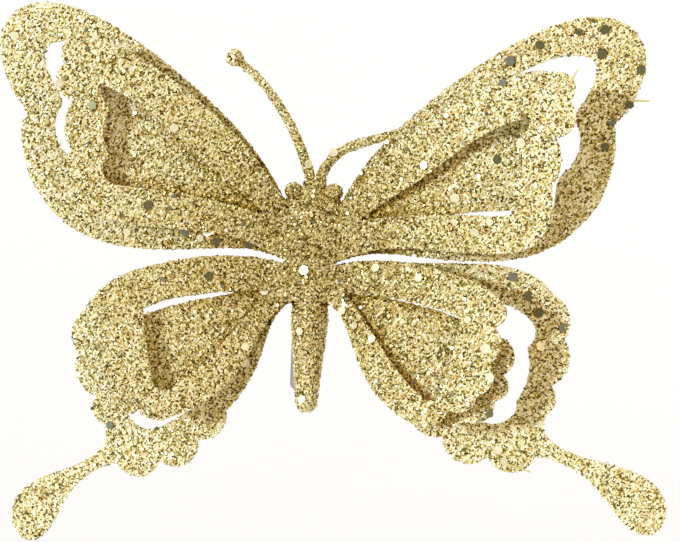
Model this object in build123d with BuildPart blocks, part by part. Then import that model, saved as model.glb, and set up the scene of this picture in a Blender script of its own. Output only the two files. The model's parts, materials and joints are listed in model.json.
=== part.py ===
"""Butterfly ornament on a spring clip, in millimetres.

Three thin sheets make each wing: a frame at the back, a panel, and a ring in front.
Their roots are stacked on pegs on the thorax, and beyond a crease the sheets fan out.
+X is the viewer's right, +Y points away from the viewer, +Z is up.
The origin is between the jaws of the clip, where it grips.
"""
from build123d import *
import os
from math import atan2, cos, degrees, dist, pi, radians, sin, tan

# Wing sheets
sheet = 0.7
crease_bend = 4.0
root_swell = 5.0
camber_radius = 400.0
fore_axis, fore_crease = 30.0, 8.6
hind_axis, hind_crease = -34.0, 10.4

# Pegs on the thorax that carry the sheets
peg_radius, peg_fit = 0.65, 0.05
peg_x = 3.6
fore_peg_z, hind_peg_z = 2.1, -7.0

# Body moulding
ridge_half, ridge_over, ridge_round = 2.25, 0.45, 0.45
root_room = 0.1
ledge_half, ledge_depth, ledge_round = 5.0, 3.0, 1.5
thorax_low, thorax_high = -12.0, 10.4
abdomen_radius, abdomen_waist, abdomen_tail, abdomen_tip = 3.95, 3.6, 2.55, 1.9
abdomen_end, abdomen_bulge_z, abdomen_tail_z = -35.6, -15.5, -31.5
abdomen_flare = 0.4
body_axis_depth = 2.05
head_radius, head_z = 3.9, 10.7
eye_radius, eye_x, eye_z, eye_forward = 1.85, 4.45, 12.7, 1.4
crown_width, crown_depth, crown_top = 5.0, 3.8, 15.1
crown_corner, crown_round = 1.7, 0.6

# Antennae
socket_radius, socket_fit, socket_depth = 0.7, 0.05, 2.4
socket_x = 1.25
stalk_root, stalk_end, ball_radius = 1.1, 0.8, 1.85
stalk_straight = stalk_root

# Clip
clip_x = -1.6
clip_width, clip_sheet = 5.0, 0.5
jaw_gap, lip_bend = 0.2, 0.9
arm_half_gap = 2.6
pivot_z, lever_end_z, jaw_tip_z = -22.0, -38.0, 0.6
lever_slope, lever_bend = 18.0, 5.0
tip_width, lever_round = 4.0, 1.4
ear_radius, ear_gap = 1.85, 0.15
pin_radius, pin_fit, pin_press = 0.65, 0.05, 0.02
pin_head_radius, pin_head = 1.1, 0.45
tooth_pitch, tooth_depth = 1.2, 0.7
stud_radius, stud_fit, stud_head_radius, stud_head = 0.9, 0.05, 1.5, 0.45
stud_low_z, stud_high_z = -32.5, -15.4

# Spring on the pin
wire, coil_room, coil_side_room, coil_turns = 0.45, 0.35, 0.3, 1
leg_length, leg_rest = 7.5, 0.06

# Height of the wing roots, set from the ends of the levers, and the layers from back to front
root_rise = 30.9
root_z = lever_end_z + root_rise
root_x = ridge_half + root_room
body_back = -arm_half_gap - clip_sheet
ledge_front = body_back - ledge_depth
layers = ("frame", "panel", "ring")
layer_front = {name: ledge_front - sheet * (i + 1) for i, name in enumerate(layers)}
layer_bend = {name: crease_bend - sheet * i for i, name in enumerate(layers)}
stack_front = layer_front["ring"]
body_axis_y = body_back - body_axis_depth

front_view = Plane(origin=(0, 0, root_z), x_dir=(1, 0, 0), z_dir=(0, -1, 0))

# Half length of the blanks that the outlines are cut from, past any wing's own
wing_reach = 110.0

# Each outline is a list of runs that follow on from each other, seen from the front on the right
# side with the body's middle at x = 0. Two points make a line, three an arc, more a smooth curve.
outlines = {
    ("fore", "frame"): [
        [(root_x, 6.0), (6.3, 10.6)],
        [(14.1, 22.5), (25.0, 33.2), (40.2, 44.5), (52.0, 50.4), (60.2, 51.8), (66.6, 49.6), (69.8, 44.0),
         (68.8, 37.0), (66.2, 31.6), (63.8, 28.8)],
        [(64.4, 24.5), (63.6, 18.5), (61.5, 12.3), (57.2, 6.6), (50.5, 1.6), (39.0, -1.1), (30.3, -1.2),
         (21.7, -0.6), (13.0, -0.5), (6.0, -2.4), (root_x, -3.9)],
        [(root_x, 6.0)],
    ],
    ("fore", "panel"): [
        [(root_x, 6.0), (6.3, 10.2)],
        [(14.4, 17.8), (21.3, 23.8), (28.0, 28.9), (38.0, 35.4), (45.8, 38.9), (51.4, 38.4)],
        [(53.4, 34.0), (50.6, 29.0)],
        [(52.0, 23.8), (49.8, 18.4)],
        [(50.2, 12.8), (45.6, 9.8)],
        [(37.0, 9.3), (27.0, 7.8), (15.0, 4.2), (7.0, -1.2), (root_x, -3.9)],
        [(root_x, 6.0)],
    ],
    ("fore", "ring"): [
        [(root_x, 6.0), (5.9, 10.3)],
        [(9.5, 14.5), (13.8, 20.3), (20.3, 26.4), (26.6, 31.4), (36.1, 37.3), (43.4, 40.3), (48.9, 40.8)],
        [(53.0, 38.9), (52.4, 35.2)],
        [(54.1, 32.0), (50.3, 27.7)],
        [(52.0, 22.7), (50.5, 17.2)],
        [(50.9, 10.5), (48.0, 4.9), (44.6, 3.4), (36.9, 2.3), (25.8, 2.2), (15.7, 1.3), (6.5, -2.1),
         (root_x, -3.9)],
        [(root_x, 6.0)],
    ],
    ("hind", "frame"): [
        [(root_x, -4.4), (6.0, -3.4), (12.0, -2.8), (23.4, -3.7), (32.0, -4.1), (40.7, -5.0), (47.1, -6.9),
         (52.6, -12.0)],
        [(55.8, -16.8), (54.5, -21.6)],
        [(55.2, -26.4), (50.9, -31.4)],
        [(51.9, -34.6), (49.7, -37.4)],
        [(49.6, -42.0), (53.4, -45.2), (60.6, -48.0), (68.0, -50.7), (72.8, -54.6), (74.0, -59.8),
         (70.6, -64.2), (65.0, -61.6), (61.4, -56.4), (56.8, -51.0), (52.0, -47.9), (46.8, -46.4)],
        [(41.2, -49.6), (36.8, -45.8)],
        [(31.2, -47.2), (27.3, -41.2)],
        [(22.4, -40.0), (20.4, -35.0)],
        [(15.4, -29.6), (12.2, -24.0), (9.4, -17.0), (6.4, -12.8), (root_x, -11.2)],
        [(root_x, -4.4)],
    ],
    ("hind", "panel"): [
        [(root_x, -4.4), (5.6, -5.2), (12.0, -8.4), (19.5, -10.5), (25.0, -11.6), (31.0, -13.3), (36.0, -15.2),
         (41.0, -17.6)],
        [(45.0, -21.4), (42.4, -25.6)],
        [(43.8, -28.4), (41.0, -30.8)],
        [(39.0, -35.0), (34.4, -35.2)],
        [(30.4, -37.2), (26.4, -34.8)],
        [(20.0, -31.2), (15.0, -26.4), (11.0, -20.6), (8.6, -15.0), (6.2, -12.2), (root_x, -11.2)],
        [(root_x, -4.4)],
    ],
    ("hind", "ring"): [
        [(root_x, -4.4), (6.5, -3.1), (13.0, -2.0), (24.0, -2.3), (33.2, -4.4), (39.0, -6.6), (42.9, -9.6)],
        [(43.8, -12.4), (41.1, -14.6)],
        [(43.0, -18.3), (40.6, -22.2)],
        [(41.5, -25.8), (38.4, -29.2)],
        [(36.2, -32.4), (32.6, -32.4)],
        [(28.9, -35.9), (24.2, -35.4)],
        [(18.4, -31.9), (14.9, -28.3), (11.7, -23.0), (8.8, -16.6), (6.0, -12.7), (root_x, -11.2)],
        [(root_x, -4.4)],
    ],
}
windows = {
    ("fore", "frame"): [
        [(14.2, 7.6), (17.6, 15.0), (24.4, 23.6), (32.0, 31.0), (41.0, 37.9), (48.3, 41.8), (55.0, 43.4),
         (59.3, 42.0), (59.6, 39.4), (58.0, 35.0), (55.3, 29.9)],
        [(56.9, 24.8), (54.6, 19.2)],
        [(52.3, 15.2), (51.8, 10.6), (48.0, 6.4), (41.0, 4.2), (30.0, 3.6), (20.0, 4.2), (14.2, 7.6)],
    ],
    ("fore", "ring"): [
        [(9.8, 6.9), (16.9, 12.4), (24.0, 17.8), (30.6, 23.6), (38.2, 28.8), (45.1, 31.7)],
        [(44.2, 28.4), (42.9, 26.3)],
        [(44.0, 21.3), (42.5, 16.4)],
        [(43.8, 12.9), (41.1, 10.6)],
        [(33.8, 10.2), (23.3, 9.4), (16.4, 8.3), (9.8, 6.9)],
    ],
    ("hind", "frame"): [
        [(13.4, -12.6), (16.0, -9.6), (25.0, -9.2), (34.0, -10.4), (40.4, -12.8), (45.0, -14.8), (48.2, -18.4),
         (46.4, -23.0)],
        [(46.6, -27.6), (43.6, -34.2)],
        [(42.4, -37.4), (38.4, -39.0), (34.0, -37.5), (27.2, -33.8), (20.4, -27.4), (16.0, -20.4),
         (13.4, -12.6)],
    ],
    ("hind", "ring"): [
        [(7.8, -9.2), (19.5, -9.9), (24.6, -10.6), (29.6, -11.7), (34.2, -13.3)],
        [(32.8, -20.9), (31.0, -28.2)],
        [(29.4, -30.6), (26.4, -30.0)],
        [(22.8, -26.9), (17.5, -20.9), (11.8, -13.4), (7.8, -9.2)],
    ],
}

# How far each sheet lifts off the body as drawn, in degrees
drawn_lift = {
    ("fore", "frame"): 8.0, ("fore", "panel"): 13.0, ("fore", "ring"): 19.0,
    ("hind", "frame"): 6.0, ("hind", "panel"): 17.0, ("hind", "ring"): 21.0,
}
# How each sheet was left by hand: turned on its peg, raised positive, and its own lift
set_by_hand = {
    ("left", "fore", "frame"): (-0.2, 4.0), ("right", "fore", "frame"): (0.0, 0.5),
    ("left", "fore", "panel"): (0.0, 8.5), ("right", "fore", "panel"): (0.0, 8.0),
    ("left", "fore", "ring"): (1.9, 14.0), ("right", "fore", "ring"): (-3.6, 15.0),
    ("left", "hind", "frame"): (-4.6, -9.0), ("right", "hind", "frame"): (5.1, -1.0),
    ("left", "hind", "panel"): (-1.1, 11.0), ("right", "hind", "panel"): (1.6, 14.0),
    ("left", "hind", "ring"): (-0.5, 17.0), ("right", "hind", "ring"): (0.2, 20.0),
}
wing_axis = {"fore": fore_axis, "hind": hind_axis}
wing_crease = {"fore": fore_crease, "hind": hind_crease}
peg_z = {"fore": fore_peg_z, "hind": hind_peg_z}


def set_point(point, wing, turn, reach):
    """Turns an outline point about its peg and shortens it along the wing's axis past the crease.

    The two corners at the root stay where they are, along the ridge.
    """
    if point[0] == root_x:
        return point
    dx, dz = point[0] - peg_x, point[1] - peg_z[wing]
    c, s = cos(radians(turn)), sin(radians(turn))
    x, z = peg_x + c * dx - s * dz, peg_z[wing] + s * dx + c * dz
    ax, az = cos(radians(wing_axis[wing])), sin(radians(wing_axis[wing]))
    along = x * ax + z * az
    past = max(along - wing_crease[wing], 0) * (reach - 1)
    return (x + past * ax, z + past * az)


def draw_outline(runs, wing, turn, reach):
    """Draws one closed outline as lines, arcs and smooth curves."""
    last = None
    for run in runs:
        points = [set_point(p, wing, turn, reach) for p in run]
        if last:
            points.insert(0, last)
        if len(points) == 2:
            Line(*points)
        elif len(points) == 3:
            ThreePointArc(*points)
        else:
            Spline(*points)
        last = points[-1]


def make_lobe(side, wing, layer):
    """One wing sheet: a creased, cambered strip cut to its outline, with its peg hole."""
    turn, lift = set_by_hand[side, wing, layer]
    reach = cos(radians(lift)) / cos(radians(drawn_lift[wing, layer]))
    axis = radians(wing_axis[wing])
    along = Plane(
        origin=(0, 0, root_z),
        x_dir=(cos(axis), 0, sin(axis)),
        z_dir=(-sin(axis), 0, cos(axis)),
    )
    with BuildPart() as lobe:
        with BuildSketch(along):
            with BuildLine():
                flat = Line((-wing_reach, layer_front[layer]), (wing_crease[wing], layer_front[layer]))
                bend = JernArc(flat @ 1, flat % 1, layer_bend[layer], -(lift + root_swell))
                JernArc(bend @ 1, bend % 1, camber_radius, degrees(wing_reach / camber_radius))
                offset(amount=sheet, side=Side.LEFT)
            make_face()
        extrude(amount=wing_reach, both=True)
        with BuildSketch(front_view):
            with BuildLine():
                draw_outline(outlines[wing, layer], wing, turn, reach)
            make_face()
            if (wing, layer) in windows:
                with BuildLine():
                    draw_outline(windows[wing, layer], wing, turn, reach)
                make_face(mode=Mode.SUBTRACT)
            with Locations((peg_x, peg_z[wing])):
                Circle(peg_radius + peg_fit, mode=Mode.SUBTRACT)
        extrude(amount=wing_reach, both=True, mode=Mode.INTERSECT)
        if side == "left":
            mirror(about=Plane.YZ, mode=Mode.REPLACE)
    return lobe


lobes = {
    f"{side}_{wing}wing_{layer}": make_lobe(side, wing, layer)
    for side in ("left", "right")
    for wing in ("fore", "hind")
    for layer in layers
}

# Body: abdomen, head, eyes, crown, thorax with its ridge, pegs in front and studs behind
with BuildPart() as body:
    with BuildSketch(Plane(origin=(0, body_axis_y, root_z), x_dir=(1, 0, 0), z_dir=(0, -1, 0))):
        with BuildLine():
            top = Line((0, thorax_low), (abdomen_waist, thorax_low))
            side_curve = Spline(
                top @ 1,
                (abdomen_radius, abdomen_bulge_z),
                ((abdomen_radius + abdomen_tail) / 2, (abdomen_bulge_z + abdomen_tail_z) / 2),
                (abdomen_tail, abdomen_tail_z),
                (abdomen_tip, abdomen_end + abdomen_tip / 2),
                (0, abdomen_end),
                tangents=((abdomen_flare, -1), (-1, 0)),
            )
            Line(side_curve @ 1, top @ 0)
        make_face()
    revolve(axis=Axis((0, body_axis_y, root_z), (0, 0, 1)))
    with Locations((0, body_axis_y, root_z + head_z)):
        Sphere(head_radius)
    with Locations(*[(s * eye_x, body_axis_y - eye_forward, root_z + eye_z) for s in (-1, 1)]):
        Sphere(eye_radius)
    split(bisect_by=Plane(origin=(0, body_back, 0), z_dir=(0, 1, 0)), keep=Keep.BOTTOM)
    with BuildSketch(Plane.XY.offset(root_z + head_z)):
        with Locations((0, body_axis_y)):
            RectangleRounded(crown_width, crown_depth, crown_corner)
    extrude(amount=crown_top - head_z)
    crown_edge = body.edges().group_by(Axis.Z)[-1]
    fillet(crown_edge, crown_round)
    with BuildSketch(Plane(origin=(0, body_back, root_z), x_dir=(1, 0, 0), z_dir=(0, -1, 0))):
        with Locations((0, (thorax_low + thorax_high) / 2)):
            RectangleRounded(2 * ledge_half, thorax_high - thorax_low, ledge_round)
    extrude(amount=ledge_depth)
    with BuildSketch(Plane.XY.offset(root_z + thorax_low)):
        with Locations((0, (ledge_front + stack_front - ridge_over) / 2)):
            ridge = Rectangle(2 * ridge_half, ledge_front - stack_front + ridge_over)
        fillet(ridge.vertices().group_by(Axis.Y)[0], ridge_round)
    extrude(amount=thorax_high - thorax_low)
    for z in (fore_peg_z, hind_peg_z):
        with BuildSketch(Plane(origin=(0, ledge_front, root_z), x_dir=(1, 0, 0), z_dir=(0, -1, 0))):
            with Locations((-peg_x, z), (peg_x, z)):
                Circle(peg_radius)
        extrude(amount=ledge_front - stack_front)
    with BuildSketch(Plane.XY.offset(root_z + crown_top)):
        with Locations((-socket_x, body_axis_y), (socket_x, body_axis_y)):
            Circle(socket_radius + socket_fit)
    extrude(amount=-socket_depth, mode=Mode.SUBTRACT)
    with BuildSketch(Plane(origin=(0, body_back, 0), x_dir=(-1, 0, 0), z_dir=(0, 1, 0))):
        with Locations((-clip_x, stud_low_z), (-clip_x, stud_high_z)):
            Circle(stud_radius)
    extrude(amount=clip_sheet)
    with BuildSketch(Plane(origin=(0, body_back + clip_sheet, 0), x_dir=(-1, 0, 0), z_dir=(0, 1, 0))):
        with Locations((-clip_x, stud_low_z), (-clip_x, stud_high_z)):
            Circle(stud_head_radius)
    extrude(amount=stud_head)


def make_antenna(side, lean, splay, rise, first_radius, first_turn, second_radius, second_turn):
    """A tapered stalk that leans forward and outwards, then bends outwards twice, with a peg and a ball."""
    seat = Vector(socket_x, body_axis_y, root_z + crown_top)
    lean_normal = Vector(0, -cos(radians(lean)), -sin(radians(lean)))
    with BuildPart() as antenna:
        with BuildSketch(Plane.XY.offset(seat.Z - socket_depth + socket_fit)):
            with Locations((seat.X, seat.Y)):
                Circle(socket_radius)
        extrude(amount=socket_depth - socket_fit)
        with BuildSketch(Plane.XY.offset(seat.Z)):
            with Locations((seat.X, seat.Y)):
                Circle(stalk_root)
        extrude(amount=stalk_straight)
        elbow = seat + (0, 0, stalk_straight)
        with BuildLine(Plane(origin=elbow, x_dir=(1, 0, 0), z_dir=lean_normal)) as path:
            start = Line((0, 0), (rise * sin(radians(splay)), rise * cos(radians(splay))))
            first = JernArc(start @ 1, start % 1, first_radius, -first_turn)
            JernArc(first @ 1, first % 1, second_radius, -second_turn)
        stalk = path.wire()
        with BuildSketch(Plane(origin=stalk @ 0, x_dir=lean_normal, z_dir=stalk % 0)) as root:
            Circle(stalk_root)
        with BuildSketch(Plane(origin=stalk @ 1, x_dir=lean_normal, z_dir=stalk % 1)) as end:
            Circle(stalk_end)
        sweep(sections=[root.sketch, end.sketch], path=stalk, multisection=True)
        with Locations(elbow):
            Sphere(stalk_root)
        with Locations(stalk @ 1):
            Sphere(ball_radius)
        if side == "left":
            mirror(about=Plane.YZ, mode=Mode.REPLACE)
    return antenna


left_antenna = make_antenna("left", 12.0, 19.0, 4.5, 48.0, 15.0, 38.0, 21.0)
right_antenna = make_antenna("right", 0.0, 27.0, 1.8, 10.5, 43.0, 120.0, 8.0)

# Clip: both arms are bent strips with ears on the pivot and teeth on a turned lip
clip_side = Plane.YZ.offset(clip_x)
ear_outer = clip_width / 2
ear_inner = ear_outer - clip_sheet - ear_gap


def ear_sketch(start, strip_y):
    """One ear, from the strip to a rounded end on the pivot."""
    with BuildSketch(clip_side.offset(start)) as ear:
        with Locations((0, pivot_z)):
            Circle(ear_radius)
        with Locations((strip_y / 2, pivot_z)):
            Rectangle(abs(strip_y), 2 * ear_radius)
    return ear.sketch


def bore_sketch(radius):
    """The pin's bore in the ears."""
    with BuildSketch(clip_side) as bore:
        with Locations((0, pivot_z)):
            Circle(radius)
    return bore.sketch


def teeth_sketch(shift):
    """Notches along the lip's edge at the grip."""
    count = int(tip_width / tooth_pitch)
    with BuildSketch(Plane.XY.offset(-lip_bend)) as teeth:
        with Locations((clip_x + shift, 0)):
            with GridLocations(tooth_pitch, 1, count, 1):
                Rectangle(tooth_pitch / 2, 2 * tooth_depth)
    return teeth.sketch


def plan_sketch():
    """The arm's outline square to its strip: even on the lever, tapered on the jaw."""
    half = clip_width / 2
    with BuildSketch(Plane(origin=(clip_x, 0, 0), x_dir=(1, 0, 0), z_dir=(0, -1, 0))) as plan:
        with BuildLine():
            Polyline(
                (-half, lever_end_z), (half, lever_end_z), (half, pivot_z + 2 * ear_radius),
                (tip_width / 2, jaw_tip_z), (-tip_width / 2, jaw_tip_z),
                (-half, pivot_z + 2 * ear_radius), close=True,
            )
        make_face()
        fillet(plan.vertices().group_by(Axis.Y)[0], lever_round)
    return plan.sketch


with BuildPart() as clip_fixed_arm:
    with BuildSketch(clip_side):
        with BuildLine():
            back = Line((body_back, lever_end_z), (body_back, jaw_tip_z - lip_bend))
            turn_in = JernArc(back @ 1, back % 1, lip_bend, -90)
            Line(turn_in @ 1, (-jaw_gap / 2, jaw_tip_z))
            offset(amount=clip_sheet, side=Side.RIGHT)
        make_face()
    extrude(amount=clip_width / 2, both=True)
    extrude(plan_sketch(), amount=-lever_end_z, both=True, mode=Mode.INTERSECT)
    extrude(ear_sketch(ear_outer - clip_sheet, body_back), amount=clip_sheet)
    extrude(ear_sketch(-ear_outer, body_back), amount=clip_sheet)
    extrude(bore_sketch(pin_radius + pin_press), amount=clip_width, both=True, mode=Mode.SUBTRACT)
    extrude(teeth_sketch(0), amount=2 * lip_bend + jaw_tip_z, mode=Mode.SUBTRACT)
    with BuildSketch(Plane(origin=(0, body_back, 0), x_dir=(-1, 0, 0), z_dir=(0, 1, 0))):
        with Locations((-clip_x, stud_low_z), (-clip_x, stud_high_z)):
            Circle(stud_radius + stud_fit)
    extrude(amount=clip_sheet, mode=Mode.SUBTRACT)

with BuildPart() as clip_moving_arm:
    with BuildSketch(clip_side):
        with BuildLine():
            outer = arm_half_gap + clip_sheet
            lip = Line((jaw_gap / 2, jaw_tip_z), (outer - lip_bend, jaw_tip_z))
            turn_down = JernArc(lip @ 1, lip % 1, lip_bend, -90)
            jaw = Line(turn_down @ 1, (outer, pivot_z))
            kink = JernArc(jaw @ 1, jaw % 1, lever_bend, lever_slope)
            run = (kink @ 1).Y - lever_end_z
            Line(kink @ 1, ((kink @ 1).X + run * tan(radians(lever_slope)), lever_end_z))
            offset(amount=clip_sheet, side=Side.RIGHT)
        make_face()
    extrude(amount=clip_width / 2, both=True)
    extrude(plan_sketch(), amount=-lever_end_z, both=True, mode=Mode.INTERSECT)
    extrude(ear_sketch(ear_inner - clip_sheet, arm_half_gap + clip_sheet / 2), amount=clip_sheet)
    extrude(ear_sketch(-ear_inner, arm_half_gap + clip_sheet / 2), amount=clip_sheet)
    extrude(bore_sketch(pin_radius + pin_fit), amount=clip_width, both=True, mode=Mode.SUBTRACT)
    extrude(teeth_sketch(tooth_pitch / 2), amount=2 * lip_bend + jaw_tip_z, mode=Mode.SUBTRACT)

with BuildPart() as clip_pin:
    with BuildSketch(clip_side):
        with Locations((0, pivot_z)):
            Circle(pin_radius)
    extrude(amount=ear_outer, both=True)
    for start, length in ((ear_outer, pin_head), (-ear_outer, -pin_head)):
        with BuildSketch(clip_side.offset(start)):
            with Locations((0, pivot_z)):
                Circle(pin_head_radius)
        extrude(amount=length)


def coil_point(angle, x):
    """A point and the direction of travel on the coil, the angle falling from +Y towards -Z."""
    a = radians(angle)
    point = Vector(clip_x + x, coil_radius * cos(a), pivot_z + coil_radius * sin(a))
    slope = coil_pitch / (2 * pi * coil_radius)
    return point, Vector(slope, sin(a), -cos(a)).normalized()


def biarc(p0, t0, p1, t1):
    """Two arcs that leave p0 along t0, meet smoothly and arrive at p1 along t1."""
    v = p1 - p0
    t = t0 + t1
    a = 2 * (1 - t0.dot(t1))
    b = 2 * v.dot(t)
    d = (-b + (b * b + 4 * a * v.dot(v)) ** 0.5) / (2 * a)
    q0, q1 = p0 + t0 * d, p1 - t1 * d
    joint = (q0 + q1) * 0.5
    first = TangentArc(p0, joint, tangent=t0)
    TangentArc(joint, p1, tangent=first % 1)


# Spring: a leg on each lever and a coil that climbs along the pin between the inner ears
coil_radius = pin_radius + coil_room + wire / 2
fixed_leg_fall = degrees(atan2(arm_half_gap - coil_radius - wire / 2 - leg_rest, leg_length))
lever_cos = cos(radians(lever_slope))
lever_distance = arm_half_gap * lever_cos - (lever_bend + clip_sheet) * (1 - lever_cos)
moving_leg_rise = lever_slope + degrees(
    atan2(lever_distance - coil_radius - wire / 2 - leg_rest, leg_length)
)
coil_start = 180 - fixed_leg_fall
coil_end = moving_leg_rise - 360 * coil_turns
quarters = 4 * coil_turns + 2
coil_span = 2 * (ear_inner - clip_sheet - coil_side_room) - wire
coil_pitch = coil_span * 360 / (coil_start - coil_end)

with BuildPart() as clip_spring:
    with BuildLine() as wire_path:
        stations = []
        for i in range(quarters + 1):
            share = i / quarters
            stations.append(coil_point(coil_start + (coil_end - coil_start) * share, coil_span * (share - 0.5)))
        enter = Vector(0, sin(radians(coil_start)), -cos(radians(coil_start)))
        leave = Vector(0, sin(radians(coil_end)), -cos(radians(coil_end)))
        stations[0] = (stations[0][0], enter)
        stations[-1] = (stations[-1][0], leave)
        Line(stations[0][0] - enter * leg_length, stations[0][0])
        for here, there in zip(stations, stations[1:]):
            biarc(*here, *there)
        Line(stations[-1][0], stations[-1][0] + leave * leg_length)
    with BuildSketch(Plane(origin=wire_path.wire() @ 0, z_dir=wire_path.wire() % 0)):
        Circle(wire / 2)
    sweep(path=wire_path.wire())

# Least gap of the wire to itself, measured on points more than half a turn apart
steps = 400
length = wire_path.wire().length
samples = [tuple(wire_path.wire().position_at(i / steps)) for i in range(steps + 1)]
apart = int(steps * pi * coil_radius / length)
least = min(dist(samples[i], q) for i in range(steps + 1) for q in samples[i + apart:])
print(f"spring: least gap to itself {least - wire:.2f} mm, wire {length:.1f} mm long,",
      f"volume {clip_spring.part.volume / (length * pi * wire ** 2 / 4):.4f} of section times length")

os.makedirs("parts", exist_ok=True)
pieces = {
    "body": body, "left_antenna": left_antenna, "right_antenna": right_antenna, **lobes,
    "clip_fixed_arm": clip_fixed_arm, "clip_moving_arm": clip_moving_arm, "clip_pin": clip_pin,
    "clip_spring": clip_spring,
}
for name, piece in pieces.items():
    piece.part.label = name
    export_step(piece.part, f"parts/{name}.step")
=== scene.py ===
"""Looks of the glitter butterfly on its clip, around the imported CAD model, in metres."""
import json
import random
from math import atan2, cos, degrees, pi, radians, sin

import bmesh
import bpy
import numpy as np
from mathutils import Matrix, Vector
from mathutils.bvhtree import BVHTree


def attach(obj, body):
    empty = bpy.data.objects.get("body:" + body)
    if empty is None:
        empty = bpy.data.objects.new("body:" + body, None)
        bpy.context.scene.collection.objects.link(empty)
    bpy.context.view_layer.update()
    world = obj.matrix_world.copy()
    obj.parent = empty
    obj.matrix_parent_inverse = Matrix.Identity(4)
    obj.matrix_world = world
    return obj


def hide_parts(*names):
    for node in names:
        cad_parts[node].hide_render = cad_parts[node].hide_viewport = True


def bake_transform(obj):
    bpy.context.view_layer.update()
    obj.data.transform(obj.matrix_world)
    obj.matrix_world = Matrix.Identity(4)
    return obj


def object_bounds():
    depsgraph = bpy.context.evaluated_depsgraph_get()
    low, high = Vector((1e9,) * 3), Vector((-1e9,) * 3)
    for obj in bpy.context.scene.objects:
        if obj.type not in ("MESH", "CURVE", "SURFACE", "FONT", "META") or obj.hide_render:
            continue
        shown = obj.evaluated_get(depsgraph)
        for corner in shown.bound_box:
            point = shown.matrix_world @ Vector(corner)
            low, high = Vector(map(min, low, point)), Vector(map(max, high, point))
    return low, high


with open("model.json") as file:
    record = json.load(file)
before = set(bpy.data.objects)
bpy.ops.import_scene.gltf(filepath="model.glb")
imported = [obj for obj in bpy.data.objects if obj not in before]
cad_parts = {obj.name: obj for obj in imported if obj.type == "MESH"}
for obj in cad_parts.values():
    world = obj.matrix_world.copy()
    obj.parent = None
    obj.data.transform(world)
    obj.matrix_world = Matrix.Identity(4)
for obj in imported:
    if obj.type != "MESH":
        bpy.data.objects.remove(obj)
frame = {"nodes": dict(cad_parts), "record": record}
cad_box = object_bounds()
low, high = cad_box
scene = bpy.context.scene
mm = 0.001

# Camera: to the right of the ornament's middle plane, rolled a little
image_width, image_height = 680, 542
focal_pixels = 2166
sensor_width = 36.0
camera_place = Vector((73.2, -473.3, -8.5)) * mm
camera_aim = Vector((6.67, -7.95, -11.51)) * mm
camera_roll = radians(2.36)

# Grains: their size, the coat's facets, and how far each facet is pushed and each grain tilted
grain = 0.36 * mm
crust_voxel = 0.32 * mm
crust_rise = 0.11 * mm
grain_tilt = 0.45
grain_roughness = (0.18, 0.5)

# Colours of the grains, from dull to bright
grain_shades = [
    (0.0, (0.07, 0.048, 0.006)), (0.15, (0.16, 0.122, 0.022)), (0.27, (0.50, 0.43, 0.15)),
    (0.42, (0.82, 0.77, 0.47)), (0.66, (0.96, 0.94, 0.75)), (1.0, (1.0, 0.99, 0.90)),
]
# Painted shade near the body, where the wings shade it: a browner tint fading out towards the wing tips,
# and the rank of the brightest grains at the body, fewer there as painted shade
root_shade_tints = [(0.03, (0.68, 0.61, 0.48)), (0.38, (0.89, 0.86, 0.76)), (0.85, (1.0, 1.0, 1.0))]
root_shade_rank, full_rank_reach = 0.70, 0.6
# Painted shade on the coat: amber and darker in closed-in places between the sheets, none in open places
crevice_reach = 4.5 * mm
crevice_shade_colours = [(0.2, (0.47, 0.28, 0.012)), (0.57, (0.85, 0.64, 0.15)), (0.79, (1.0, 1.0, 1.0))]

# Flakes and stray slivers of film
flake_sides = 6
flake_thickness = 0.05 * mm
flake_lift, flake_lift_share = 0.16 * mm, 0.12
flake_tilt = 0.16
small_flakes_per_area = 0.055 / mm ** 2
small_radius_low, small_radius_high = 0.25 * mm, 0.5 * mm
large_radius = 1.05 * mm
sliver_half = 0.3 * mm

# Where the wings meet the body, and the mounds of glue there as centres and half sizes, in millimetres
root_z, root_front, wing_span = -7.1, -8.2, 75.0
mound_sides, mound_rings = 48, 32
glue_mounds = [((0.0, root_front, root_z - 1.5), (6.0, 0.62, 12.0))]
for side in (-1, 1):
    glue_mounds.append(((side * 4.0, root_front + 1.5, root_z + 9.2), (2.3, 1.9, 2.7)))

glitter_nodes = [s["node"] for s in frame["record"]["subparts"] if s["material_slot"] == "gold_glitter"]
steel_nodes = ["clip_fixed_arm", "clip_moving_arm", "clip_pin"]


def new_material(name):
    """A node material and its shader."""
    material = bpy.data.materials.new(name)
    material.use_nodes = True
    return material, material.node_tree.nodes["Principled BSDF"]


def add_node(material, kind, **inputs):
    """Adds a node and sets its inputs by name."""
    node = material.node_tree.nodes.new(kind)
    for name, value in inputs.items():
        node.inputs[name].default_value = value
    return node


def object_place(material):
    """The place of a point on its object."""
    return add_node(material, "ShaderNodeTexCoord").outputs["Object"]


def add_ramp(material, value, stops):
    """The colour that a value picks from (place, colour) stops."""
    node = add_node(material, "ShaderNodeValToRGB")
    ramp = node.color_ramp
    while len(ramp.elements) < len(stops):
        ramp.elements.new(1.0)
    for element, (place, colour) in zip(ramp.elements, stops):
        element.position = place
        element.color = (*colour, 1.0)
    material.node_tree.links.new(value, node.inputs["Fac"])
    return node.outputs["Color"]


def add_range(material, value, lowest, highest, full=1.0):
    """A value from 0 to full, spread over a range."""
    limits = {"From Max": full, "To Min": lowest, "To Max": highest}
    node = add_node(material, "ShaderNodeMapRange", **limits)
    material.node_tree.links.new(value, node.inputs["Value"])
    return node.outputs["Result"]


def multiply_values(material, first, second):
    """The product of two values."""
    node = add_node(material, "ShaderNodeMath")
    node.operation = "MULTIPLY"
    material.node_tree.links.new(first, node.inputs[0])
    material.node_tree.links.new(second, node.inputs[1])
    return node.outputs[0]


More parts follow.
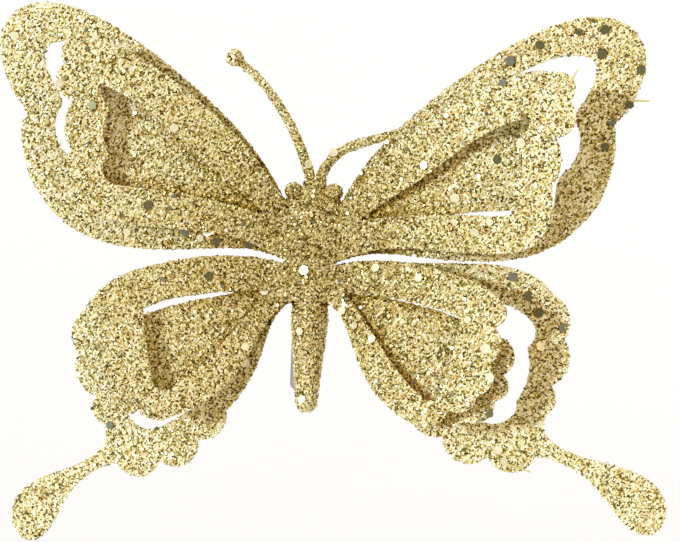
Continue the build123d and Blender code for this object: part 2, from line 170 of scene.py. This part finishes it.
def multiply_colours(material, first, second):
    """The product of two colours, whose sockets are 6 and 7 in, and 2 out."""
    node = add_node(material, "ShaderNodeMix", Factor=1.0)
    node.data_type = "RGBA"
    node.blend_type = "MULTIPLY"
    material.node_tree.links.new(first, node.inputs[6])
    material.node_tree.links.new(second, node.inputs[7])
    return node.outputs[2]


def vector_maths(material, operation, *terms):
    """A vector operation on sockets or plain values."""
    node = add_node(material, "ShaderNodeVectorMath")
    node.operation = operation
    for term, socket in zip(terms, node.inputs):
        if isinstance(term, bpy.types.NodeSocket):
            material.node_tree.links.new(term, socket)
        else:
            socket.default_value = term
    return node


def root_reach(material, place):
    """The distance from the wing roots, as a share of the wing's span."""
    away = vector_maths(material, "DISTANCE", place, Vector((0.0, root_front, root_z)) * mm)
    return add_range(material, away.outputs["Value"], 0.0, 1.0, wing_span * mm)


def grain_shade(material, chance, reach):
    """Each grain's colour, with painted shade towards the body: fewer bright grains and a browner tint
    there.
    """
    rank = multiply_values(material, chance, add_range(material, reach, root_shade_rank, 1.0, full_rank_reach))
    shade = add_ramp(material, rank, grain_shades)
    return multiply_colours(material, shade, add_ramp(material, reach, root_shade_tints))


def painted_crevice_shade(material):
    """Painted shade on the coat, amber and darker by how closed in a place is."""
    crevice = add_node(material, "ShaderNodeAmbientOcclusion", Distance=crevice_reach)
    crevice.samples = 6
    return add_ramp(material, crevice.outputs["AO"], crevice_shade_colours)


def tilted_normal(material, noise):
    """The surface's normal, tilted at random for each grain."""
    surface = add_node(material, "ShaderNodeNewGeometry")
    centred = vector_maths(material, "SUBTRACT", noise, (0.5, 0.5, 0.5)).outputs[0]
    tilts = (grain_tilt, grain_tilt, grain_tilt)
    tilted = vector_maths(material, "MULTIPLY_ADD", centred, tilts, surface.outputs["Normal"]).outputs[0]
    return vector_maths(material, "NORMALIZE", tilted).outputs[0]


def glitter_material():
    """Fine glitter: each grain has its own shade, gloss and tilt."""
    material, shader = new_material("gold_glitter")
    link = material.node_tree.links.new
    place = object_place(material)
    grains = add_node(material, "ShaderNodeTexVoronoi", Scale=1 / grain)
    link(place, grains.inputs["Vector"])
    noise = grains.outputs["Color"]
    parts = add_node(material, "ShaderNodeSeparateColor")
    link(noise, parts.inputs["Color"])
    # Grain colours, darker and browner towards the body as painted shade
    shade = grain_shade(material, parts.outputs["Red"], root_reach(material, place))
    # Painted shade in closed-in places, multiplied into the grain colours
    with_painted_shade = multiply_colours(material, shade, painted_crevice_shade(material))
    link(with_painted_shade, shader.inputs["Base Color"])
    link(add_range(material, parts.outputs["Green"], *grain_roughness), shader.inputs["Roughness"])
    link(tilted_normal(material, noise), shader.inputs["Normal"])
    shader.inputs["Metallic"].default_value = 0.3
    shader.inputs["Specular IOR Level"].default_value = 0.15
    shader.inputs["Specular Tint"].default_value = (1.0, 0.82, 0.45, 1.0)
    return material


def flake_material(name, colour, metallic, roughness):
    """Cut film of one colour, slightly cloudy."""
    material, shader = new_material(name)
    link = material.node_tree.links.new
    cloud = add_node(material, "ShaderNodeTexNoise", Scale=1500.0, Detail=2.0)
    link(object_place(material), cloud.inputs["Vector"])
    darker = tuple(c * 0.8 for c in colour)
    shade = add_ramp(material, cloud.outputs["Fac"], [(0.35, darker), (0.65, colour)])
    link(shade, shader.inputs["Base Color"])
    shader.inputs["Metallic"].default_value = metallic
    shader.inputs["Roughness"].default_value = roughness
    return material


def steel_material(name, colour, along):
    """Drawn steel with fine lines along one axis."""
    material, shader = new_material(name)
    link = material.node_tree.links.new
    stretch = add_node(material, "ShaderNodeMapping")
    stretch.inputs["Scale"].default_value = tuple(60.0 if i == along else 4000.0 for i in range(3))
    link(object_place(material), stretch.inputs["Vector"])
    lines = add_node(material, "ShaderNodeTexNoise", Scale=1.0, Detail=3.0)
    link(stretch.outputs["Vector"], lines.inputs["Vector"])
    darker = tuple(c * 0.75 for c in colour)
    shade = add_ramp(material, lines.outputs["Fac"], [(0.3, darker), (0.7, colour)])
    link(shade, shader.inputs["Base Color"])
    link(add_range(material, lines.outputs["Fac"], 0.22, 0.42), shader.inputs["Roughness"])
    bump = add_node(material, "ShaderNodeBump", Strength=0.15, Distance=0.02 * mm)
    link(lines.outputs["Fac"], bump.inputs["Height"])
    link(bump.outputs["Normal"], shader.inputs["Normal"])
    shader.inputs["Metallic"].default_value = 1.0
    return material


glitter = glitter_material()
flake_materials = [
    flake_material("flake_cream", (0.90, 0.84, 0.62), 0.35, 0.3),
    flake_material("flake_gold", (0.78, 0.64, 0.28), 0.6, 0.3),
    flake_material("flake_olive", (0.13, 0.12, 0.05), 0.6, 0.35),
    flake_material("flake_slate", (0.20, 0.21, 0.17), 0.5, 0.35),
]
CREAM, GOLD, OLIVE, SLATE = range(4)
small_flake_mix = {CREAM: 5, GOLD: 4, OLIVE: 1.5, SLATE: 0.5}


def link_object(name, mesh):
    """A new object in the scene."""
    piece = bpy.data.objects.new(name, mesh)
    scene.collection.objects.link(piece)
    return piece


def evaluated_mesh(piece):
    """The piece's mesh after its modifiers, or a curve's as a mesh."""
    bpy.context.view_layer.update()
    return bpy.data.meshes.new_from_object(piece.evaluated_get(bpy.context.evaluated_depsgraph_get()))


def add_ellipsoid(bm, centre, radii):
    """A closed ellipsoid of rings between two poles, placed in millimetres."""
    def corner(down, around):
        unit = (sin(down) * cos(around), sin(down) * sin(around), cos(down))
        return bm.verts.new([(c + r * u) * mm for c, r, u in zip(centre, radii, unit)])

    top, bottom = corner(0, 0), corner(pi, 0)
    rings = [
        [corner(pi * i / mound_rings, 2 * pi * k / mound_sides) for k in range(mound_sides)]
        for i in range(1, mound_rings)
    ]
    for k in range(mound_sides):
        j = (k + 1) % mound_sides
        bm.faces.new((top, rings[0][k], rings[0][j]))
        bm.faces.new((bottom, rings[-1][j], rings[-1][k]))
        for upper, lower in zip(rings, rings[1:]):
            bm.faces.new((upper[k], lower[k], lower[j], upper[j]))


def base_mesh(node):
    """The node's shape without glitter: its CAD mesh, and on the body the mounds of glue as well."""
    mesh = frame["nodes"][node].data.copy()
    if node == "body":
        bm = bmesh.new()
        bm.from_mesh(mesh)
        for centre, radii in glue_mounds:
            add_ellipsoid(bm, centre, radii)
        bm.to_mesh(mesh)
        bm.free()
    return mesh


def push_grains(mesh, seed):
    """Moves each corner a little at random, within the CAD box."""
    count = len(mesh.vertices)
    place = np.zeros(count * 3)
    normal = np.zeros(count * 3)
    mesh.vertices.foreach_get("co", place)
    mesh.vertex_normals.foreach_get("vector", normal)
    dice = np.random.default_rng(seed)
    rise = dice.normal(0.0, crust_rise, (count, 1))
    slide = dice.normal(0.0, crust_rise / 2, (count, 3))
    place = place.reshape(-1, 3) + normal.reshape(-1, 3) * rise + slide
    mesh.vertices.foreach_set("co", np.clip(place, low, high).ravel())
    mesh.update()


def make_crust(node, seed):
    """The node's shape under a coat of grains: fine flat facets, each pushed out or in a little."""
    piece = link_object(node + "_crust", bases[node].copy())
    remesh = piece.modifiers.new("grains", "REMESH")
    remesh.mode = "VOXEL"
    remesh.voxel_size = crust_voxel
    remesh.use_smooth_shade = False
    mesh = evaluated_mesh(piece)
    piece.modifiers.clear()
    piece.data = mesh
    push_grains(mesh, seed)
    mesh.materials.clear()
    mesh.materials.append(glitter)
    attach(piece, "ornament")
    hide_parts(node)


bases = {node: base_mesh(node) for node in glitter_nodes}
for seed, node in enumerate(glitter_nodes):
    make_crust(node, seed)


def triangles_of(mesh):
    """Corner places of a mesh's triangles."""
    mesh.calc_loop_triangles()
    return [[mesh.vertices[v].co.copy() for v in t.vertices] for t in mesh.loop_triangles]


node_triangles = {node: triangles_of(mesh) for node, mesh in bases.items()}

# One tree over all glitter nodes finds what lies behind a pixel
tree_points, tree_faces, face_node = [], [], []
for node, triangles in node_triangles.items():
    for corners in triangles:
        tree_faces.append(tuple(range(len(tree_points), len(tree_points) + 3)))
        tree_points.extend(corners)
        face_node.append(node)
surface_tree = BVHTree.FromPolygons(tree_points, tree_faces)

look = (camera_aim - camera_place).normalized()
camera_turn = look.to_track_quat("-Z", "Y").to_matrix() @ Matrix.Rotation(camera_roll, 3, "Z")


def pixel_ray(x, y):
    """Direction from the camera through a pixel of the photograph."""
    ray = Vector((x - image_width / 2, image_height / 2 - y, -focal_pixels))
    return (camera_turn @ ray).normalized()


def hit_pixel(x, y):
    """Place, normal and node of the glitter surface behind a pixel."""
    place, normal, index, _ = surface_tree.ray_cast(camera_place, pixel_ray(x, y))
    if place is None:
        return None
    if normal.dot(pixel_ray(x, y)) > 0:
        normal = -normal
    return place, normal, face_node[index]


# Small flakes, spread at random: lists of (place, normal, radius, colour) for each node
dice = random.Random(7)
flakes = {node: [] for node in glitter_nodes}
for node, triangles in node_triangles.items():
    areas = [((b - a).cross(c - a)).length / 2 for a, b, c in triangles]
    for a, b, c in dice.choices(triangles, areas, k=round(sum(areas) * small_flakes_per_area)):
        u, v = sorted((dice.random(), dice.random()))
        place = a * u + b * (v - u) + c * (1 - v)
        normal = (b - a).cross(c - a).normalized()
        radius = dice.uniform(small_radius_low, small_radius_high)
        colour = dice.choices(list(small_flake_mix), list(small_flake_mix.values()))[0]
        flakes[node].append((place, normal, radius, colour))

# Large flakes where the photograph shows them, in pixels
large_flakes = {
    CREAM: [(304, 270), (300, 331), (302, 399), (424, 165), (455, 198), (521, 143), (490, 222), (475, 232),
            (174, 128), (60, 83), (24, 115), (15, 36), (127, 232), (207, 232), (200, 238), (245, 347),
            (245, 362), (264, 291), (308, 164), (334, 153), (376, 268), (419, 278), (342, 311), (355, 326),
            (372, 339), (468, 320), (486, 349), (490, 378), (498, 450), (504, 461), (541, 346), (541, 424)],
    OLIVE: [(148, 205), (92, 105), (217, 242), (249, 244), (579, 32), (605, 30), (540, 45), (602, 54),
            (641, 70), (630, 105), (605, 147), (497, 160), (490, 414), (529, 296), (539, 313), (209, 276)],
    SLATE: [(185, 232), (510, 61), (503, 83), (612, 122), (513, 277), (563, 328), (110, 425)],
}
for colour, pixels in large_flakes.items():
    for x, y in pixels:
        found = hit_pixel(x, y)
        if found:
            place, normal, node = found
            flakes[node].append((place, normal, large_radius * dice.uniform(0.8, 1.15), colour))

# Stray slivers of film past the edges, from a pixel on a wing to a pixel beside it
sliver_pixels = [
    ((98, 441), (75, 449)), ((500, 462), (531, 472)), ((628, 101), (650, 101)), ((570, 84), (578, 69)),
]
slivers = {node: [] for node in glitter_nodes}
for start_pixel, end_pixel in sliver_pixels:
    found = hit_pixel(*start_pixel)
    if found:
        place, normal, node = found
        ray = pixel_ray(*end_pixel)
        end = camera_place + ray * ((place - camera_place).dot(normal) / ray.dot(normal))
        slivers[node].append((place + normal * flake_lift, end + normal * flake_lift, normal))


def add_prism(bm, bottom_points, top_points, colour):
    """A thin closed piece of film between two outlines."""
    bottom = [bm.verts.new(p) for p in bottom_points]
    top = [bm.verts.new(p) for p in top_points]
    faces = [bm.faces.new(top), bm.faces.new(bottom[::-1])]
    for k in range(len(top)):
        j = (k + 1) % len(top)
        faces.append(bm.faces.new((bottom[k], bottom[j], top[j], top[k])))
    for face in faces:
        face.material_index = colour


def add_sliver(bm, start, end, normal):
    """One thin strip that tapers towards its free end."""
    side = (end - start).cross(normal).normalized() * sliver_half
    outline = [start - side, start + side, end + side / 2, end - side / 2]
    add_prism(bm, outline, [p + normal * flake_thickness for p in outline], GOLD)


def add_flake(bm, place, normal, radius, colour):
    """One thin hexagon, tilted and turned at random."""
    tilt = Vector((dice.gauss(0, 1), dice.gauss(0, 1), dice.gauss(0, 1))) * flake_tilt
    up = (normal + tilt).normalized()
    turn = up.to_track_quat("Z", "Y").to_matrix() @ Matrix.Rotation(dice.uniform(0, pi), 3, "Z")
    centre = place + normal * (flake_lift + radius * flake_lift_share)
    rims = []
    for height in (-flake_thickness / 2, flake_thickness / 2):
        angles = [2 * pi * k / flake_sides for k in range(flake_sides)]
        rims.append([centre + turn @ Vector((radius * cos(a), radius * sin(a), height)) for a in angles])
    add_prism(bm, *rims, colour)


def make_flakes(node):
    """All the node's flakes and slivers as one mesh, within the CAD box."""
    bm = bmesh.new()
    for sliver in slivers[node]:
        add_sliver(bm, *sliver)
    for flake in flakes[node]:
        add_flake(bm, *flake)
    for vertex in bm.verts:
        vertex.co = np.clip(vertex.co, low, high)
    mesh = bpy.data.meshes.new(node + "_flakes")
    bm.to_mesh(mesh)
    bm.free()
    for material in flake_materials:
        mesh.materials.append(material)
    piece = link_object(node + "_flakes", mesh)
    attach(piece, "ornament")


for node in glitter_nodes:
    make_flakes(node)

# Clip: the CAD strips get steel with lines along them
steel = steel_material("clip_steel_lines", (0.37, 0.345, 0.32), 2)
pin_steel = steel_material("pin_steel_lines", (0.39, 0.365, 0.34), 0)
for node in steel_nodes:
    materials = frame["nodes"][node].data.materials
    materials.clear()
    materials.append(pin_steel if node == "clip_pin" else steel)

# Spring: the same coil and legs as the CAD wire, as one tube, in millimetres and degrees
clip_x, pivot_z, wire = -1.6, -22.0, 0.45
pin_radius, coil_room, coil_side_room, coil_turns = 0.65, 0.35, 0.3, 1
clip_width, clip_sheet, ear_gap, arm_half_gap = 5.0, 0.5, 0.15, 2.6
lever_slope, lever_bend, leg_length, leg_rest = 18.0, 5.0, 7.5, 0.06
coil_steps = 64
coil_radius = pin_radius + coil_room + wire / 2
leg_drop = coil_radius + wire / 2 + leg_rest
lever_cos = cos(radians(lever_slope))
lever_distance = arm_half_gap * lever_cos - (lever_bend + clip_sheet) * (1 - lever_cos)
coil_start = 180 - degrees(atan2(arm_half_gap - leg_drop, leg_length))
coil_end = lever_slope + degrees(atan2(lever_distance - leg_drop, leg_length)) - 360 * coil_turns
coil_span = 2 * (clip_width / 2 - 2 * clip_sheet - ear_gap - coil_side_room) - wire


def coil_point(share):
    """A point of the coil, from the fixed leg at 0 to the moving leg at 1."""
    a = radians(coil_start + (coil_end - coil_start) * share)
    return Vector((clip_x + coil_span * (share - 0.5), coil_radius * cos(a), pivot_z + coil_radius * sin(a)))


def coil_travel(angle):
    """Direction of travel square to the pin."""
    return Vector((0, sin(radians(angle)), -cos(radians(angle))))


def spring_mesh():
    """A round tube along the first leg, the coil and the second leg."""
    points = [coil_point(i / coil_steps) for i in range(coil_steps + 1)]
    points.insert(0, points[0] - coil_travel(coil_start) * leg_length)
    points.append(points[-1] + coil_travel(coil_end) * leg_length)
    curve = bpy.data.curves.new("spring_line", "CURVE")
    curve.dimensions = "3D"
    curve.bevel_depth = wire / 2 * mm
    curve.bevel_resolution = 3
    curve.use_fill_caps = True
    spline = curve.splines.new("POLY")
    spline.points.add(len(points) - 1)
    for target, point in zip(spline.points, points):
        target.co = (*(point * mm), 1.0)
    tube = link_object("spring_line", curve)
    mesh = evaluated_mesh(tube)
    bpy.data.objects.remove(tube)
    for polygon in mesh.polygons:
        polygon.use_smooth = True
    return mesh


spring = link_object("clip_spring_wire", spring_mesh())
spring.data.materials.clear()
spring.data.materials.append(steel_material("spring_wire_lines", (0.37, 0.345, 0.33), 0))
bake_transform(spring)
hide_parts("clip_spring")


def seen_directly(node_tree):
    """A value of 1 for rays from the camera, or from a reflection or a refraction."""
    path = node_tree.nodes.new("ShaderNodeLightPath")
    most = path.outputs["Is Camera Ray"]
    for name in ("Is Glossy Ray", "Is Transmission Ray"):
        either = node_tree.nodes.new("ShaderNodeMath")
        either.operation = "MAXIMUM"
        node_tree.links.new(most, either.inputs[0])
        node_tree.links.new(path.outputs[name], either.inputs[1])
        most = either.outputs[0]
    return most


# Stage: a pale floor that sweeps up into a backdrop, white to the camera
floor_z = low[2] - 0.002
floor_front, sweep_y, sweep_radius, stage_half, stage_top = -1.2, 0.5, 0.4, 2.0, 1.6
sweep_steps = 8
stage_colour, seen_share = (0.9, 0.9, 0.9, 1.0), 0.9


def stage_mesh():
    """The sweep, as one smooth strip."""
    profile = [(floor_front, floor_z)]
    for k in range(sweep_steps + 1):
        a = radians(90 * k / sweep_steps)
        profile.append((sweep_y + sweep_radius * sin(a), floor_z + sweep_radius * (1 - cos(a))))
    profile.append((sweep_y + sweep_radius, stage_top))
    bm = bmesh.new()
    rows = [[bm.verts.new((x, y, z)) for y, z in profile] for x in (-stage_half, stage_half)]
    for k in range(len(profile) - 1):
        bm.faces.new((rows[0][k], rows[1][k], rows[1][k + 1], rows[0][k + 1]))
    mesh = bpy.data.meshes.new("stage")
    bm.to_mesh(mesh)
    bm.free()
    for polygon in mesh.polygons:
        polygon.use_smooth = True
    return mesh


def stage_material():
    """A pale floor that keeps some of its shadows where it is seen directly."""
    material, shader = new_material("stage_white")
    link = material.node_tree.links.new
    shader.inputs["Base Color"].default_value = stage_colour
    shader.inputs["Roughness"].default_value = 0.9
    seen = add_range(material, seen_directly(material.node_tree), 0.0, seen_share)
    white = add_node(material, "ShaderNodeEmission", Color=(1.0, 1.0, 1.0, 1.0), Strength=1.0)
    mix = add_node(material, "ShaderNodeMixShader")
    link(seen, mix.inputs["Fac"])
    link(shader.outputs["BSDF"], mix.inputs[1])
    link(white.outputs["Emission"], mix.inputs[2])
    link(mix.outputs["Shader"], material.node_tree.nodes["Material Output"].inputs["Surface"])
    return material


stage = link_object("stage", stage_mesh())
stage.data.materials.append(stage_material())

# Light: a cool key from the left front, and wider lamps from the right, from above and from behind
middle = (Vector(low) + Vector(high)) / 2
cool_light, warm_light, white_light = (0.76, 0.885, 1.0), (1.0, 0.80, 0.36), (1.0, 1.0, 1.0)
key_from = Vector((-0.64, -0.78, 0.1))


def add_lamp(name, kind, offset, power, colour):
    """A lamp that faces the ornament."""
    data = bpy.data.lights.new(name, kind)
    data.energy = power
    data.color = colour
    lamp = link_object(name, data)
    lamp.location = middle + offset
    lamp.rotation_euler = (-offset).to_track_quat("-Z", "Y").to_euler()
    return data


add_lamp("key", "SUN", key_from, 2.85, cool_light).angle = radians(7)
add_lamp("fill", "AREA", Vector((0.6, -0.7, 0.3)), 1.0, warm_light).size = 0.6
add_lamp("top", "AREA", Vector((0.0, 0.1, 0.8)), 0.6, warm_light).size = 0.5
add_lamp("back", "AREA", Vector((0.3, 0.8, 0.4)), 1.5, white_light).size = 0.5

# World: warm and dim as light, white where it is seen directly or in a reflection
world = bpy.data.worlds.new("studio")
scene.world = world
world.use_nodes = True
world_nodes = world.node_tree.nodes
world_link = world.node_tree.links.new
ambient = world_nodes["Background"]
ambient.inputs["Color"].default_value = (1.0, 0.73, 0.22, 1.0)
ambient.inputs["Strength"].default_value = 0.55
seen_white = world_nodes.new("ShaderNodeBackground")
seen_white.inputs["Color"].default_value = (1.0, 1.0, 1.0, 1.0)
seen_white.inputs["Strength"].default_value = 1.0
world_mix = world_nodes.new("ShaderNodeMixShader")
world_link(seen_directly(world.node_tree), world_mix.inputs["Fac"])
world_link(ambient.outputs["Background"], world_mix.inputs[1])
world_link(seen_white.outputs["Background"], world_mix.inputs[2])
world_link(world_mix.outputs["Shader"], world_nodes["World Output"].inputs["Surface"])

camera = link_object("camera", bpy.data.cameras.new("camera"))
camera.data.sensor_fit = "HORIZONTAL"
camera.data.sensor_width = sensor_width
camera.data.lens = sensor_width * focal_pixels / image_width
camera.data.clip_start = 0.01
camera.matrix_world = Matrix.Translation(camera_place) @ camera_turn.to_4x4()
scene.camera = camera
scene.view_settings.view_transform = "Standard"
